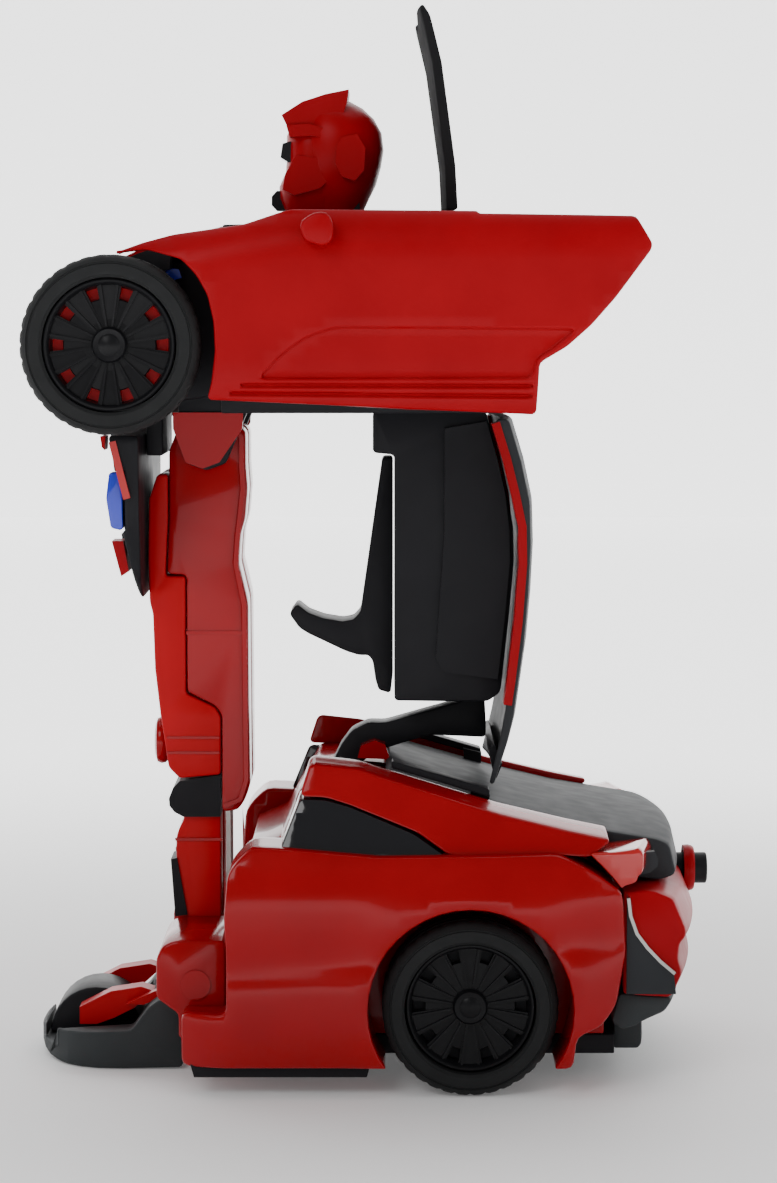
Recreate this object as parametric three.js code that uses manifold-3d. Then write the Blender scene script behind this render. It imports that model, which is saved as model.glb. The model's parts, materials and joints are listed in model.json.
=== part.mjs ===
// Transforming robot car, standing: the rear half of the car is the base, and the front half is lifted on
// two legs with the robot's head on top. Millimetres, +Z up, the robot faces -X, its left side is -Y.
import * as THREE from "three";
import { mergeVertices } from "three/addons/utils/BufferGeometryUtils.js";
import Module from "manifold-3d";

const wasm = await Module();
wasm.setup();

// ---- driving dimensions ----
const GAP = 0.3;
const WHEEL_R = 24.5;
const FLOOR_GAP = 0.2;
const ARCH_R = 28.5;
const REAR_WHEEL = { x: 22.7, z: WHEEL_R + FLOOR_GAP, inner: 50, outer: 69 };
const FRONT_WHEEL = { x: -75.7, z: 208.1, inner: 52.5, outer: 73 };
const AXLE_R = 2.5;
const ANKLE = { x: -54, z: 29.5 };
const HIP = { x: -53, z: 178.3 };
const PIN_R = 2.4;
const PIN_HOLE_R = 2.65;
const LEG = { inner: 2, outer: 20 };
const SHIN = { inner: 4, outer: 17 };
const ARM = { inner: 59, outer: 72, hinge: 41 };
const HEAD_HALF = 15;
const HEAD_BAY_HALF = 18;
const SIDE = { inner: 47.3, outer: 71 };
const BASE_HALF = 47;
const ORIGIN_SHIFT = 4.15;
const SIDES = [["left", -1], ["right", 1]];

const model = new THREE.Group();
model.position.x = ORIGIN_SHIFT;

// ---- materials ----
const plastic = (color, roughness, metalness = 0) =>
  new THREE.MeshStandardMaterial({ color, roughness, metalness });
const RED = () => plastic(0xb81c1e, 0.35);
const DEEP_RED = () => plastic(0x971619, 0.15);
const BLACK = () => plastic(0x1e1e20, 0.4);
const GREY = () => plastic(0x46484a, 0.45);
const DARK_GREY = () => plastic(0x34383a, 0.6);
const TYRE = () => plastic(0x222424, 0.85);
const STEEL = () => plastic(0x9a9a9a, 0.3, 1);

// ---- solids ----
function solidOf(geometry) {
  const bare = geometry.clone();
  for (const name of ["normal", "uv"]) bare.deleteAttribute(name);
  const merged = mergeVertices(bare, 1e-4);
  const triVerts = Uint32Array.from(merged.index.array);
  const vertProperties = Float32Array.from(merged.attributes.position.array);
  return new wasm.Manifold(new wasm.Mesh({ numProp: 3, vertProperties, triVerts }));
}

function join(...solids) {
  return solids.reduce((whole, piece) => whole.add(piece));
}

function cut(solid, ...tools) {
  return tools.reduce((rest, tool) => rest.subtract(tool), solid);
}

function box(x0, x1, y0, y1, z0, z1) {
  const geometry = new THREE.BoxGeometry(x1 - x0, y1 - y0, z1 - z0);
  return solidOf(geometry.translate((x0 + x1) / 2, (y0 + y1) / 2, (z0 + z1) / 2));
}

// A closed outline with each corner rounded off over at most the given distance.
function roundedShape(points, radius) {
  const shape = new THREE.Shape();
  const corners = points.map(([x, y]) => new THREE.Vector2(x, y));
  corners.forEach((corner, i) => {
    const before = corners[(i + corners.length - 1) % corners.length];
    const after = corners[(i + 1) % corners.length];
    const toBefore = before.clone().sub(corner);
    const toAfter = after.clone().sub(corner);
    const reach = Math.min(radius, toBefore.length() * 0.45, toAfter.length() * 0.45);
    const start = corner.clone().add(toBefore.setLength(reach));
    const end = corner.clone().add(toAfter.setLength(reach));
    if (i === 0) shape.moveTo(start.x, start.y);
    else shape.lineTo(start.x, start.y);
    shape.quadraticCurveTo(corner.x, corner.y, end.x, end.y);
  });
  shape.closePath();
  return shape;
}

function extruded(points, radius, depth) {
  const shape = radius > 0 ? roundedShape(points, radius)
    : new THREE.Shape(points.map(([x, y]) => new THREE.Vector2(x, y)));
  return new THREE.ExtrudeGeometry(shape, { depth, bevelEnabled: false, curveSegments: 2 });
}

// A side outline in X and Z, extruded along Y.
function slab(points, y0, y1, radius = 0) {
  const geometry = extruded(points, radius, y1 - y0);
  return solidOf(geometry.rotateX(Math.PI / 2).translate(0, y1, 0));
}

// A front outline in Y and Z, extruded along X.
function frontSlab(points, x0, x1, radius = 0) {
  const geometry = extruded(points, radius, x1 - x0);
  return solidOf(geometry.rotateX(Math.PI / 2).rotateZ(Math.PI / 2).translate(x0, 0, 0));
}

// A plan outline in X and Y, extruded along Z.
function planSlab(points, z0, z1) {
  return solidOf(extruded(points, 0, z1 - z0).translate(0, 0, z0));
}

// A slab on one side of the car, its Y given outward from the centre plane.
function sideSlab(points, sign, inner, outer, radius = 0) {
  return sign < 0 ? slab(points, -outer, -inner, radius) : slab(points, inner, outer, radius);
}

function sideBox(sign, x0, x1, inner, outer, z0, z1) {
  return sign < 0 ? box(x0, x1, -outer, -inner, z0, z1) : box(x0, x1, inner, outer, z0, z1);
}

// A rod along Y.
function rod(x, z, radius, y0, y1, sides = 20) {
  const geometry = new THREE.CylinderGeometry(radius, radius, y1 - y0, sides);
  return solidOf(geometry.translate(x, (y0 + y1) / 2, z));
}

function sideRod(sign, x, z, radius, inner, outer, sides = 20) {
  return sign < 0 ? rod(x, z, radius, -outer, -inner, sides) : rod(x, z, radius, inner, outer, sides);
}

// A rod along X.
function rodX(y, z, radius, x0, x1, sides = 20) {
  const geometry = new THREE.CylinderGeometry(radius, radius, x1 - x0, sides);
  return solidOf(geometry.rotateZ(Math.PI / 2).translate((x0 + x1) / 2, y, z));
}

// A turned piece about a line along Y; the profile is [radius, outward Y] and closes on itself.
function turned(profile, x, z, sign, sides) {
  const points = profile.map(([r, y]) => new THREE.Vector2(r, y));
  points.push(points[0].clone());
  const solid = solidOf(new THREE.LatheGeometry(points, sides));
  const placed = sign < 0 ? solid.mirror([0, 1, 0]) : solid;
  return placed.translate([x, 0, z]);
}

function addPart(name, solid, material) {
  const mesh = solid.getMesh();
  const geometry = new THREE.BufferGeometry();
  const position = new Float32Array(mesh.vertProperties);
  geometry.setAttribute("position", new THREE.BufferAttribute(position, 3));
  geometry.setIndex(new THREE.BufferAttribute(new Uint32Array(mesh.triVerts), 1));
  const part = new THREE.Mesh(geometry, material);
  part.name = name;
  model.add(part);
}

// ---- base: chassis, housing and what they hold ----
const HOUSING = [
  [-44, 13.4], [61, 13.4], [61, 60], [48, 70], [30, 74], [-2, 83.5], [-14, 84.5], [-21, 84],
  [-27, 74], [-31, 66], [-40, 62], [-44, 48],
];
const HOUSING_CAVITY = [
  [-41, 13], [58, 13], [58, 57], [44, 66], [-10, 70], [-24, 64], [-36, 57], [-41, 45],
];
const AXLE_HOLE = rod(REAR_WHEEL.x, REAR_WHEEL.z, AXLE_R + 0.6, -60, 60);
const GOOSE_PIVOT = { x: -15, z: 80 };
const goosePinHole = rod(GOOSE_PIVOT.x, GOOSE_PIVOT.z, PIN_HOLE_R, -12, 12);
const gooseSlot = join(box(-27.5, 6, -6.5, 6.5, 71.5, 95), goosePinHole);
addPart("base_housing", cut(slab(HOUSING, -BASE_HALF, BASE_HALF), slab(HOUSING_CAVITY, -44, 44),
  AXLE_HOLE, gooseSlot), BLACK());

const doorHole = box(-36, -2, -30, 30, 5, 14);
const screwSpots = [[-39, -40], [-39, 40], [54, -40], [54, 40]];
const screwHoles = screwSpots.map(([x, y]) => box(x - 2.2, x + 2.2, y - 2.2, y + 2.2, 6, 9.5));
addPart("chassis", cut(box(-45, 64, -46.5, 46.5, 7.6, 13.1), doorHole, ...screwHoles), BLACK());
addPart("battery_door", box(-35.6, -2.4, -29.6, 29.6, 8, 12.8), BLACK());
addPart("battery_pack", box(-34, -4, -28, 28, 15, 31), GREY());
addPart("circuit_board", box(-38, 10, -30, 30, 50, 51.6), plastic(0x1d5c34, 0.5));
const [[screwX, screwY]] = screwSpots;
const SCREW_HALF = 1.8;
addPart("chassis_screw", box(screwX - SCREW_HALF, screwX + SCREW_HALF, screwY - SCREW_HALF,
  screwY + SCREW_HALF, 7.8, 9.2), STEEL());

// ---- drive: motor, pinion, rear axle, gear and rear wheels ----
const GEAR = { teeth: 20, r: 9.6, root: 8, y0: 8, y1: 13 };
const PINION = { teeth: 10, r: 4.9, root: 3.6, x: REAR_WHEEL.x + 15.2 };
function gearSolid(spec, x, z) {
  const points = [];
  for (let tooth = 0; tooth < spec.teeth; tooth += 1) {
    for (const [part, r] of [[0, spec.root], [0.3, spec.r], [0.55, spec.r], [0.85, spec.root]]) {
      const angle = (2 * Math.PI * (tooth + part)) / spec.teeth;
      points.push([x + r * Math.cos(angle), z + r * Math.sin(angle)]);
    }
  }
  return slab(points, GEAR.y0, GEAR.y1);
}
const axleBore = rod(REAR_WHEEL.x, REAR_WHEEL.z, AXLE_R + GAP, -20, 20);
addPart("axle_gear", cut(gearSolid(GEAR, REAR_WHEEL.x, REAR_WHEEL.z), axleBore), plastic(0xd8d4c8, 0.5));
addPart("motor_pinion", gearSolid(PINION, PINION.x, REAR_WHEEL.z), plastic(0xd8d4c8, 0.5));
addPart("drive_motor", rod(PINION.x, REAR_WHEEL.z, 10, -22, 7.5, 16), STEEL());
addPart("rear_axle", rod(REAR_WHEEL.x, REAR_WHEEL.z, AXLE_R, -62, 62), STEEL());

const TYRE_WIDTH = 20;
function tyreProfile(outer) {
  const inner = outer - TYRE_WIDTH;
  return [[18.2, inner], [22, inner], [24, inner + 1.5], [WHEEL_R, inner + 3.5], [WHEEL_R, outer - 3.5],
    [24, outer - 1.5], [22, outer], [18.2, outer]];
}
function rimProfile(face, bore) {
  return [[bore, face - 12], [5.5, face - 12], [5.5, face - 6.5], [16.4, face - 6.5], [16.4, face - 16],
    [17.9, face - 16], [17.9, face], [16.2, face], [14, face - 2.4], [6, face - 3.6], [4.4, face - 1.2],
    [bore, face - 1.2]];
}
const WHEEL_SIDES = 28;
function addWheel(end, side, sign, place, rimDepth) {
  addPart(`${end}_tyre_${side}`, turned(tyreProfile(place.outer), place.x, place.z, sign, WHEEL_SIDES),
    TYRE());
  addPart(`${end}_rim_${side}`,
    turned(rimProfile(place.outer - rimDepth, AXLE_R + GAP), place.x, place.z, sign, WHEEL_SIDES), BLACK());
}
for (const [side, sign] of SIDES) addWheel("rear", side, sign, REAR_WHEEL, 3);

// ---- base: outer shells ----
const REAR_SIDE = [
  [-57.5, 23.6], [-57.5, 8.4], [51, 8.4], [52, 17.7], [59, 20.5], [63, 25.8], [65.8, 40.8],
  [64.7, 57.1], [59, 61.5], [54.7, 64.2], [46.8, 68], [30, 67.6], [-3, 67.2], [-30.5, 69.6],
  [-37.8, 69.9], [-41.9, 66.1], [-44.3, 62.8], [-45.4, 50.3], [-44.8, 43], [-44.8, 23.6],
];
const SIDE_WINDOW = [
  [-24.5, 83.4], [-17.6, 83.1], [-10.6, 81.2], [7.3, 73.9], [16, 68], [-3, 67.7], [-30, 69.9],
];
const ROOF_SIDE = [
  [-21.8, 93], [-16.3, 92.5], [-8, 91.5], [-3.9, 90], [30.8, 79.5], [50, 75], [62, 72.6], [56, 68],
  [47.5, 68.6], [17, 68.4], [8, 74.6], [-10.4, 81.8], [-17.4, 83.9], [-24.7, 84.2],
];
const archCut = rod(REAR_WHEEL.x, REAR_WHEEL.z, ARCH_R, -75, 75, 40);
for (const [side, sign] of SIDES) {
  const ankleRoom = sideBox(sign, -60, -45.2, 40, 57.4, 5, 80);
  const shell = sideSlab(REAR_SIDE, sign, SIDE.inner, SIDE.outer, 2);
  addPart(`rear_side_${side}`, cut(shell, archCut, ankleRoom), DEEP_RED());
  addPart(`side_window_${side}`, sideSlab(SIDE_WINDOW, sign, SIDE.inner, 64, 1), BLACK());
  addPart(`roof_side_${side}`, sideSlab(ROOF_SIDE, sign, SIDE.inner, 64.5, 1.5), DEEP_RED());
  const rail = [[0.9, 91.2], [28.4, 83.2], [28.6, 80.9], [1, 89.1]];
  addPart(`roof_rail_${side}`, sideSlab(rail, sign, 40, 46.9, 0.4), BLACK());
}
const HATCH = [
  [-1, 84], [-0.5, 88.3], [30.8, 79.4], [50, 74.8], [62, 72.8], [78, 70.2], [82.5, 68.5],
  [84.6, 59], [80, 57.5], [64, 58.5], [61.5, 61], [48.3, 70.5], [30.2, 74.4],
];
addPart("hatch", slab(HATCH, -46.9, 46.9, 1.5), GREY());
for (const [side, sign] of SIDES) {
  const light = [
    [55.5, 68], [63, 68.4], [76.6, 69.6], [77.8, 67.6], [77.6, 63], [75, 60.3], [66.4, 59],
    [65.2, 58.2],
  ];
  addPart(`tail_light_${side}`, sideSlab(light, sign, SIDE.inner, 66, 1), plastic(0xc42426, 0.1));
}
const BUMPER = [
  [66.3, 28], [66.3, 56.5], [80, 57], [85.5, 54.5], [89, 46], [89, 44.1], [87.2, 41.9],
  [86.8, 37.8], [88, 33.8], [86.8, 30.8], [85, 27],
];
const KNOB = { z: 53, r: 4.6 };
const knobHole = rodX(0, KNOB.z, KNOB.r + 0.6, 60, 99);
addPart("rear_bumper", cut(slab(BUMPER, -62, 62, 1), knobHole), GREY());
const LOWER_BUMPER = [
  [65, 27.6], [84.8, 26.6], [84.8, 25.2], [83, 22.5], [74.4, 18.8], [66, 17.5], [62.4, 19.6],
];
const DIFFUSER = [[64.4, 20], [74.2, 22], [74.4, 9], [73, 7.6], [64.4, 7.6]];
addPart("diffuser", join(slab(LOWER_BUMPER, -60, 60, 1), slab(DIFFUSER, -40, 40, 0.8)), DARK_GREY());
const knobStem = rodX(0, KNOB.z, KNOB.r - 1.5, 66.8, 72, 24);
addPart("rear_button", join(rodX(0, KNOB.z, KNOB.r, 70, 94.2, 24), knobStem), BLACK());

// ---- ankle housings and feet ----
const ANKLE_BOX = [
  [-58.8, 21.1], [-58.8, 14], [-45.6, 14], [-45.6, 41.9], [-59.6, 41.9], [-63.3, 40.4], [-65, 36.8],
  [-65, 25.6],
];
const FOOT = { half: 34, front: -102.5, back: -59.2, nose: 26, floor: 5.6 };
const DOME = { x: -86, r: 13.6, half: 11 };
const FOOT_SIDE = [
  [FOOT.front, 2.6], [FOOT.front, 8.6], [-99, 9.8], [-74, 11.3], [-69, 18], [-66, 20.2],
  [FOOT.back, 20.2], [FOOT.back, 0.6], [-74, FLOOR_GAP], [-94, FLOOR_GAP], [-99, 0.9],
];
const footPlan = [[FOOT.back, -FOOT.half]];
for (let step = 0; step <= 16; step += 1) {
  const angle = (Math.PI * step) / 16 - Math.PI / 2;
  footPlan.push([FOOT.front + FOOT.nose * (1 - Math.cos(angle) ** 0.8), FOOT.half * Math.sin(angle)]);
}
footPlan.push([FOOT.back, FOOT.half]);
footPlan.reverse();
const footWell = box(DOME.x - DOME.r - 0.7, -71.4, -24, 24, FOOT.floor, 30);
const footSide = slab(FOOT_SIDE, -FOOT.half, FOOT.half, 1);
addPart("foot_tray", cut(footSide.intersect(planSlab(footPlan, 0, 25)), footWell), DARK_GREY());
const domeRod = rod(DOME.x, FOOT.floor, DOME.r, -DOME.half, DOME.half, 32);
const belowDome = box(-110, -60, -20, 20, -10, FOOT.floor + GAP);
addPart("foot_dome", cut(domeRod, belowDome), BLACK());
for (const [side, sign] of SIDES) {
  const pinHole = sideRod(sign, ANKLE.x, ANKLE.z, PIN_HOLE_R, 10, 32);
  const housing = sideSlab(ANKLE_BOX, sign, SHIN.outer + 0.7, 57, 1.2);
  addPart(`ankle_housing_${side}`, cut(housing, pinHole), DEEP_RED());
}

// ---- legs ----
const LEG_FRONT = [
  [-66.5, 170.6], [-63.5, 170.6], [-63.5, 157.8], [-64.3, 142.6], [-64.3, 141.2], [-58.6, 141.2],
  [-58.6, 107.1], [-50.3, 103.2], [-48.6, 100.6], [-48.6, 83.6], [-60.6, 82.5], [-63.7, 85.7],
  [-66, 101.2], [-67.5, 114.3], [-68, 130.3], [-68.9, 133.8], [-69.2, 147], [-68.9, 163.5],
];
const LEG_REAR = [
  [-59.7, 186], [-44.9, 186], [-41.1, 182.7], [-41.1, 173.2], [-40.6, 166.6], [-41.3, 157.9],
  [-42.6, 153.5], [-43.2, 144.9], [-40.6, 133.8], [-40.3, 79.8], [-41.7, 76], [-43.7, 73.2],
  [-48.2, 72.7], [-48.2, 100.8], [-50, 103.6], [-58.2, 107.7], [-58.2, 141.6], [-63.8, 141.9],
  [-63.1, 157.8], [-63.1, 177.3],
];
const SHIN_SIDE = [
  [-63.5, 76.6], [-60.6, 81.3], [-49, 82.3], [-48.9, 71.1], [-48.9, 40.5], [-47.8, 32.3],
  [-48.8, 25.2], [-54.1, 22.3], [-59.4, 25.2], [-60.4, 32.3], [-61.8, 40.9], [-61.8, 64.6],
  [-61.1, 67.1], [-59.2, 70.6],
];
for (const [side, sign] of SIDES) {
  const hipHole = sideRod(sign, HIP.x, HIP.z, PIN_HOLE_R, 0, 30);
  addPart(`leg_front_${side}`, sideSlab(LEG_FRONT, sign, LEG.inner, LEG.outer, 0.8), RED());
  const rearHalf = sideSlab(LEG_REAR, sign, LEG.inner, LEG.outer, 1.2);
  addPart(`leg_rear_${side}`, cut(rearHalf, hipHole), DEEP_RED());
  const pin = sideRod(sign, ANKLE.x, ANKLE.z, PIN_R, SHIN.outer - 2, 31);
  addPart(`shin_${side}`, join(sideSlab(SHIN_SIDE, sign, SHIN.inner, SHIN.outer, 1), pin), RED());
}

// ---- torso: frame, head bay, hip lugs and hip pin ----
const TORSO = [
  [-46.5, 189], [-46.5, 234.5], [26, 234.5], [40, 228], [48, 216], [38, 205], [34, 189],
];
const TORSO_TOP = [[-46.5, 225], [-46.5, 241.5], [24, 242.8], [30, 236], [30, 225]];
const CROSSMEMBER = [
  [-86, 197], [-89, 206], [-88, 222], [-74, 231], [-40, 231], [-40, 195], [-70, 190.5],
];
const HIP_LUG = [
  [-60, 189.4], [-57.5, 174], [-52, 172], [-46.5, 174], [-40, 189.4], [-40, 198], [-60, 198],
];
const bay = box(-37, 1, -HEAD_BAY_HALF, HEAD_BAY_HALF, 213, 260);
const hipPinHole = rod(HIP.x, HIP.z, PIN_HOLE_R, -40, 40);
const lugs = SIDES.map(([, sign]) => cut(sideSlab(HIP_LUG, sign, 20.8, 27, 1), hipPinHole));
const noseBracket = box(-69.6, -64.8, -20, 20, 176, 196);
addPart("torso_frame", cut(join(slab(TORSO, -50, 50), slab(TORSO_TOP, -38, 38), slab(CROSSMEMBER, -36, 36),
  ...lugs, noseBracket), bay), BLACK());
addPart("hip_pin", rod(HIP.x, HIP.z, PIN_R, -26.6, 26.6), STEEL());

// ---- front wheels on steering knuckles ----
for (const [side, sign] of SIDES) {
  const block = sideBox(sign, -80, -71, 38, 47, 200, 216);
  const stub = sideRod(sign, FRONT_WHEEL.x, FRONT_WHEEL.z, AXLE_R, 46, FRONT_WHEEL.outer - 3);
  addPart(`steering_knuckle_${side}`, join(block, stub), GREY());
  addWheel("front", side, sign, FRONT_WHEEL, 0.5);
}

// ---- arms: fender and door in one panel, with its mirror ----
const PANEL_TOP = [
  [-75.2, 232.9], [-67, 235.8], [-58.5, 238], [-39.3, 240.7], [-31, 243.5], [-26.7, 244.8],
  [24, 244.4], [24.6, 243.7], [67.4, 243.1],
];
const PANEL_REST = [
  [71.7, 235.6], [71.4, 234], [67.6, 228.9], [61.5, 220.8], [55, 213.5], [48.3, 207.6], [45, 205.7],
  [41, 203.3], [40.2, 189.2], [4.6, 190.3], [-22.4, 191.9], [-49.3, 193.3], [-48, 198.1],
  [-47, 206.5], [-47.4, 214.5], [-49, 221.6], [-52, 227], [-56.1, 231.3], [-66, 234],
];
const flangeDepth = 2.6;
const flangeDrop = 0.9;
const FLANGE_TOP = PANEL_TOP.slice(2, 8).map(([x, z]) => [x, z - flangeDrop]);
const FLANGE_UNDER = FLANGE_TOP.map(([x, z]) => [x, z - flangeDepth]).reverse();
const FLANGE = [...FLANGE_TOP, ...FLANGE_UNDER];
const doorFace = [
  [-35.3, 199], [-29, 205.7], [-22, 210.5], [-14, 213], [51, 212.4], [43.4, 206.4], [40, 204.4],
  [39, 199.2],
];
const doorSills = [
  [[-43, 195.4], [39, 194.6], [39, 193.8], [-43, 194.6]],
  [[-40, 197.6], [39, 197.4], [39, 196.6], [-40, 196.8]],
];
for (const [side, sign] of SIDES) {
  const wall = sideSlab([...PANEL_TOP, ...PANEL_REST], sign, ARM.inner, ARM.outer, 1.2);
  const flange = sideSlab(FLANGE, sign, ARM.hinge, ARM.inner + 1);
  const recess = sideSlab(doorFace, sign, ARM.outer - 1.2, ARM.outer + 5, 2);
  const grooves = doorSills.map((line) => sideSlab(line, sign, ARM.outer - 0.8, ARM.outer + 5));
  addPart(`side_panel_${side}`, cut(join(wall, flange), recess, ...grooves), RED());
  const mirror = [
    [-24, 241], [-20, 243.6], [-16.5, 243.8], [-14.8, 241], [-14.8, 236.5], [-17, 234.4],
    [-22.6, 236],
  ];
  addPart(`door_mirror_${side}`, sideSlab(mirror, sign, ARM.outer + GAP, ARM.outer + 8, 1.5), RED());
}

// ---- head ----
const HELMET = [
  [-24.6, 276.8], [-18.3, 278.8], [-11.8, 280.4], [-5, 276.2], [-1.6, 269.8], [-0.6, 265],
  [-1.4, 258], [-4, 252], [-6, 246], [-26, 246], [-27.4, 253], [-27.4, 270.2], [-28.6, 271],
  [-30.6, 274],
];
const CROWN = [
  [-15, 245], [-15, 265], [-13, 273.5], [-8.5, 279], [-3, 281.5], [3, 281.5], [8.5, 279],
  [13, 273.5], [15, 265], [15, 245],
];
const helmet = slab(HELMET, -HEAD_HALF, HEAD_HALF, 2);
const crown = frontSlab(CROWN, -40, 5, 2);
addPart("helmet", helmet.intersect(crown), RED());
const FACE = [
  [-27.8, 269.5], [-31.6, 266], [-31.4, 261], [-33, 255.5], [-33, 249.6], [-30.4, 247.6],
  [-27.8, 247.6],
];
addPart("face_plate", slab(FACE, -9, 9, 0.8), RED());

// ---- windscreen panel ----
const SCREEN = [
  [8, 303], [10, 300], [13.5, 286.6], [15.7, 271.4], [17.7, 258.2], [18.5, 245.8], [15.4, 245.8],
  [14.8, 258], [13, 272], [10.8, 287], [7.2, 302],
];
const SCREEN_FRONT = [
  [-30, 240], [-37, 297], [-36, 306], [-28, 303.5], [-12, 298], [12, 298], [28, 303.5], [36, 306],
  [37, 297], [30, 240],
];
const screenFront = frontSlab(SCREEN_FRONT, 0, 30, 2);
addPart("windscreen_panel", slab(SCREEN, -40, 40, 0.8).intersect(screenFront), BLACK());

// ---- nose with bumper and lenses ----
const NOSE = [
  [-80, 182.6], [-70, 182.6], [-70, 134.5], [-71.2, 138], [-73, 146], [-75.2, 155], [-77.6, 170],
  [-78.8, 178],
];
const NOSE_FRONT = [
  [-46, 183], [46, 183], [44, 160], [38, 142], [30, 136], [-30, 136], [-38, 142], [-44, 160],
];
const lensPockets = SIDES.map(([, sign]) => sideBox(sign, -84, -74.4, 33, 50, 155.6, 172.6));
const noseBody = slab(NOSE, -46, 46, 1).intersect(frontSlab(NOSE_FRONT, -85, -60, 2));
addPart("nose", cut(noseBody, ...lensPockets), BLACK());
for (const [side, sign] of SIDES) {
  const lens = [[-74.7, 155.9], [-74.7, 172.3], [-78.4, 172.3], [-79.3, 165], [-78, 156.6]];
  addPart(`headlight_lens_${side}`, sideSlab(lens, sign, 33.4, 43.4, 0.8), plastic(0x3c50c8, 0.1));
}

// ---- spine, back panel, hook lever and gooseneck ----
const SPINE = [
  [-4.5, 188.7], [-4.5, 177], [1.7, 176.4], [1.7, 105.6], [14, 105.4], [28.6, 105.4], [32.2, 108],
  [34.6, 130], [36, 146], [35.7, 156], [33.8, 165.4], [31, 175.6], [28, 188.7],
];
addPart("spine", slab(SPINE, -24, 24, 1), BLACK());
const SKIN = [
  [32, 187], [35.8, 187], [39.4, 175], [41.8, 163.6], [42.2, 151.4], [41.5, 137.5], [40.3, 123.6],
  [38.6, 111.4], [37.2, 101.7], [35.4, 94.5], [31.8, 83.2], [30.6, 83.6], [33.6, 96], [35.2, 105],
  [37, 123], [38.2, 137.5], [38.8, 151], [37.6, 162.6], [35.2, 173],
];
addPart("back_panel", slab(SKIN, -38, 38, 1), GREY());
const HOOK = [
  [-1.8, 175], [-7.9, 132], [-8.2, 130], [-10.2, 127.7], [-13.4, 127.1], [-18.9, 128],
  [-23.5, 129.7], [-26.7, 132.3], [-29, 129.4], [-26.1, 125.3], [-23.5, 123.6], [-18, 121],
  [-12.5, 118.4], [-8.7, 117.2], [-5.8, 117.2], [-4.6, 115.5], [-3.8, 110], [-2.9, 107], [0.6, 106],
  [1.3, 112], [1.3, 175],
];
addPart("hook_lever", slab(HOOK, -9, 9, 0.8), BLACK());
const GOOSE = [
  [28.2, 104.9], [24.6, 104.9], [20.6, 103], [11.3, 100.4], [-1, 96.9], [-6, 97], [-10.8, 94.6],
  [-14, 90.3], [-16.3, 85.4], [-19, 82], [-18.4, 77], [-14.5, 75.6], [-11, 77.5], [-9, 84],
  [-6.4, 86.4], [-1.2, 89.2], [5.2, 91.3], [12.5, 93.3], [28.6, 92.6], [28.6, 98],
];
const goosePin = rod(GOOSE_PIVOT.x, GOOSE_PIVOT.z, PIN_R, -11, 11);
addPart("gooseneck", join(slab(GOOSE, -5.5, 5.5, 1), goosePin), BLACK());

export default model;
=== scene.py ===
"""Transforming robot car: visible pieces, materials, camera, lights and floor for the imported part."""

import bpy
import bmesh
import json
import math
from mathutils import Matrix, Vector


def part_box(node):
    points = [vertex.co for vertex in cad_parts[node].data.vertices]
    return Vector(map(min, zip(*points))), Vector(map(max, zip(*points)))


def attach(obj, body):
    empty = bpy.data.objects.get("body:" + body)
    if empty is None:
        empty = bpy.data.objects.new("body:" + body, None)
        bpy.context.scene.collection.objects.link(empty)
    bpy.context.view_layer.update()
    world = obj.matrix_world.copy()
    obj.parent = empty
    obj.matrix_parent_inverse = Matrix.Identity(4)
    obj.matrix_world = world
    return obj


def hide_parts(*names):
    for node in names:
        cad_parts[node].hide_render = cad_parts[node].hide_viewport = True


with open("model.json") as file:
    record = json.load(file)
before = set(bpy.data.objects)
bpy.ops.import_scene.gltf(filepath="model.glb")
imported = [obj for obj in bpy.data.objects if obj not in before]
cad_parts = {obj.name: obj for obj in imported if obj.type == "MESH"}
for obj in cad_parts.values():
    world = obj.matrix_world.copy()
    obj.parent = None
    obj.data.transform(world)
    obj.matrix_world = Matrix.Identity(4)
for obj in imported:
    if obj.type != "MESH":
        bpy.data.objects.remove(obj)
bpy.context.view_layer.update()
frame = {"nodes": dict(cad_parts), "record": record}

MM = 0.001
SIDES = (("left", -1), ("right", 1))

# ---- places taken from the frame ----


def centre(node):
    low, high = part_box(node)
    return Vector([(a + b) / 2 for a, b in zip(low, high)])


FRONT_WHEEL_X = -75.7
SHIFT = centre("front_rim_left").x / MM - FRONT_WHEEL_X
BODIES = frame["record"]["behaviour"]["bodies"]
BODY_OF = {node: body for body, nodes in BODIES.items() for node in nodes}


def place(x, y, z):
    """A point in millimetres, its X counted from SHIFT behind the frame's origin."""
    return Vector(((x + SHIFT) * MM, y * MM, z * MM))


# ---- materials ----
COLOR_SPREAD = 0.07
COLOR_PATCH = 22
GLOSS_PATCH = 6
GRAIN_SIZE = 0.8
GRAIN_DEPTH = 0.05
COAT_ROUGHNESS = 0.05


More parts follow.
